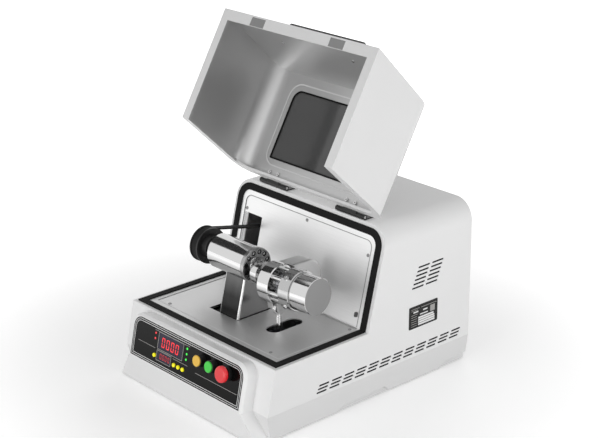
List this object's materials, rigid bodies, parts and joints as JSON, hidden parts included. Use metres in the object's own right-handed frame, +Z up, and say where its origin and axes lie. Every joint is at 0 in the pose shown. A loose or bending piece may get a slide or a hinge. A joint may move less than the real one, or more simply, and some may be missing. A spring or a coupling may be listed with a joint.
{
  "type": "vibratory ball mill",
  "caption": "Bench mill that shakes a clamped vial on an eccentric inclined shaft under a hinged hood, with a rear motor tower and a sloped control panel.",
  "frame": {"origin": "on the bench under the middle of the machine's footprint", "axes": "+X to the machine's right, +Y to the rear, +Z up; the control panel faces -Y"},
  "size_m": [0.5186, 0.6923, 0.8373],
  "materials": {
    "white_paint": "smooth white paint with a soft sheen",
    "skirt_paint": "smooth white paint",
    "lid_white": "smooth white moulding",
    "fascia_white": "smooth pale moulding",
    "panel_film": "black film with plain lines",
    "satin_steel": "satin",
    "base_steel": "plain sheet",
    "black_rubber": "matt",
    "foot_rubber": "matt",
    "black_plastic": "fine grain",
    "handle_black": "fine grain",
    "display_dark": "dark window",
    "led_lens": "clear lens",
    "yellow_plastic": "smooth",
    "green_plastic": "smooth",
    "red_plastic": "smooth",
    "key_yellow": "matt",
    "smoked_glass": "smoked and clear",
    "plate_film": "black foil with plain pale fields",
    "cast_grey": "machined",
    "machined_steel": "turned",
    "bearing_steel": "ground",
    "screw_steel": "bright",
    "black_iron": "black oxide",
    "motor_black": "black paint",
    "vial_steel": "turned and dulled",
    "arm_chrome": "polished",
    "drive_case": "anodised"
  },
  "bodies": {
    "cabinet": {"main_housing": "white_paint", "base_skirt": "skirt_paint", "base_plate": "base_steel", "rubber_feet": "foot_rubber", "front_fascia": "fascia_white", "control_panel": "panel_film", "number_displays": "display_dark", "indicator_leds": "led_lens", "button_collars": "black_plastic", "deck_plate": "satin_steel", "bulkhead_panel": "satin_steel", "panel_screws": "screw_steel", "interlock_sensor": "black_plastic", "lid_gasket": "black_rubber", "rear_panel": "base_steel", "power_inlet": "black_plastic", "rating_plate": "plate_film", "support_post": "cast_grey", "bearing_housing": "cast_grey", "shaft_bearings": "bearing_steel", "bearing_cover": "machined_steel", "cover_screws": "screw_steel", "motor_body": "motor_black", "motor_bracket": "base_steel", "drive_belt": "black_rubber", "link_bracket": "cast_grey", "motor_drive": "drive_case", "hinge_bases": "black_iron", "hinge_pins": "screw_steel"},
    "key_set_body": {"key_set": "key_yellow"},
    "key_shift_body": {"key_shift": "key_yellow"},
    "key_down_body": {"key_down": "key_yellow"},
    "key_up_body": {"key_up": "key_yellow"},
    "pause_body": {"pause_button": "yellow_plastic"},
    "start_body": {"start_button": "green_plastic"},
    "estop_stem": {"estop_plunger": "black_plastic"},
    "estop_cap": {"estop_head": "red_plastic"},
    "rocker_body": {"power_rocker": "black_plastic"},
    "lid": {"lid_shell": "lid_white", "window_seal": "black_rubber", "window_glass": "smoked_glass", "lid_handle": "handle_black", "lid_screws": "screw_steel", "catch_plates": "machined_steel", "hinge_leaves": "black_iron"},
    "rotor": {"main_shaft": "machined_steel", "driven_pulley": "black_iron"},
    "motor_rotor": {"motor_shaft": "machined_steel", "motor_pulley": "black_iron"},
    "clamp": {"wobble_hub": "machined_steel", "hub_bearing": "bearing_steel", "clamp_ring": "machined_steel", "clamp_screws": "screw_steel", "rear_arm": "arm_chrome", "link_pin": "screw_steel"},
    "ball_body": {"link_ball": "bearing_steel"},
    "link": {"link_rod": "machined_steel"},
    "vial": {"vial_body": "vial_steel", "vial_cap": "vial_steel", "grinding_balls": "bearing_steel"}
  },
  "joints": [
    {"name": "lid_hinge", "type": "hinge", "parent": "cabinet", "child": "lid", "pos_m": [0, 0.06584, 0.42], "axis": [1, 0, 0], "range_deg": [0, 120]},
    {"name": "shaft_spin", "type": "hinge", "parent": "cabinet", "child": "rotor", "pos_m": [0, -0.1175, 0.302], "axis": [1, 0, 0], "continuous": true},
    {"name": "motor_spin", "type": "hinge", "parent": "cabinet", "child": "motor_rotor", "pos_m": [0, 0.1725, 0.254], "axis": [1, 0, 0], "continuous": true},
    {"name": "clamp_turn", "type": "hinge", "parent": "rotor", "child": "clamp", "pos_m": [0.088, -0.1227, 0.2847], "axis": [0.9974, 0.0698, 0.0199], "continuous": true},
    {"name": "link_ball_turn", "type": "hinge", "parent": "clamp", "child": "ball_body", "pos_m": [0.09326, -0.12233, 0.22079], "axis": [0.9974, 0.0698, 0.0199], "continuous": true},
    {"name": "link_rod_turn", "type": "hinge", "parent": "ball_body", "child": "link", "pos_m": [0.09326, -0.12233, 0.22079], "axis": [1, 0, 0], "continuous": true},
    {"name": "vial_slide", "type": "slide", "parent": "clamp", "child": "vial", "axis": [-0.9974, -0.0698, -0.0199], "range_m": [-0.09, 0]},
    {"name": "pause_press", "type": "slide", "parent": "cabinet", "child": "pause_body", "axis": [0, 0.9763, -0.2164], "range_m": [0, 0.004], "stiffness_N_per_m": 500, "springref_m": -0.003},
    {"name": "start_press", "type": "slide", "parent": "cabinet", "child": "start_body", "axis": [0, 0.9763, -0.2164], "range_m": [0, 0.004], "stiffness_N_per_m": 500, "springref_m": -0.003},
    {"name": "estop_press", "type": "slide", "parent": "cabinet", "child": "estop_stem", "axis": [0, 0.9763, -0.2164], "range_m": [0, 0.005]},
    {"name": "estop_twist", "type": "hinge", "parent": "estop_stem", "child": "estop_cap", "pos_m": [0.147, -0.33235, 0.14484], "axis": [0, -0.9763, 0.2164], "range_deg": [-30, 0], "stiffness_Nm_per_rad": 0.05, "springref_deg": 11.46},
    {"name": "rocker_tip", "type": "hinge", "parent": "cabinet", "child": "rocker_body", "pos_m": [-0.124, 0.3385, 0.135], "axis": [1, 0, 0], "range_deg": [0, 16]},
    {"name": "key_set_press", "type": "slide", "parent": "cabinet", "child": "key_set_body", "axis": [0, 0.9763, -0.2164], "range_m": [0, 0.001], "stiffness_N_per_m": 1200, "springref_m": -0.0005},
    {"name": "key_shift_press", "type": "slide", "parent": "cabinet", "child": "key_shift_body", "axis": [0, 0.9763, -0.2164], "range_m": [0, 0.001], "stiffness_N_per_m": 1200, "springref_m": -0.0005},
    {"name": "key_down_press", "type": "slide", "parent": "cabinet", "child": "key_down_body", "axis": [0, 0.9763, -0.2164], "range_m": [0, 0.001], "stiffness_N_per_m": 1200, "springref_m": -0.0005},
    {"name": "key_up_press", "type": "slide", "parent": "cabinet", "child": "key_up_body", "axis": [0, 0.9763, -0.2164], "range_m": [0, 0.001], "stiffness_N_per_m": 1200, "springref_m": -0.0005}
  ],
  "couplings": [
    {"joint": "motor_spin", "follows": "shaft_spin", "ratio": 1.7273},
    {"joint": "clamp_turn", "follows": "shaft_spin", "ratio": -1},
    {"joint": "link_ball_turn", "follows": "shaft_spin", "ratio": 1},
    {"joint": "link_rod_turn", "follows": "shaft_spin", "ratio": -1}
  ]
}
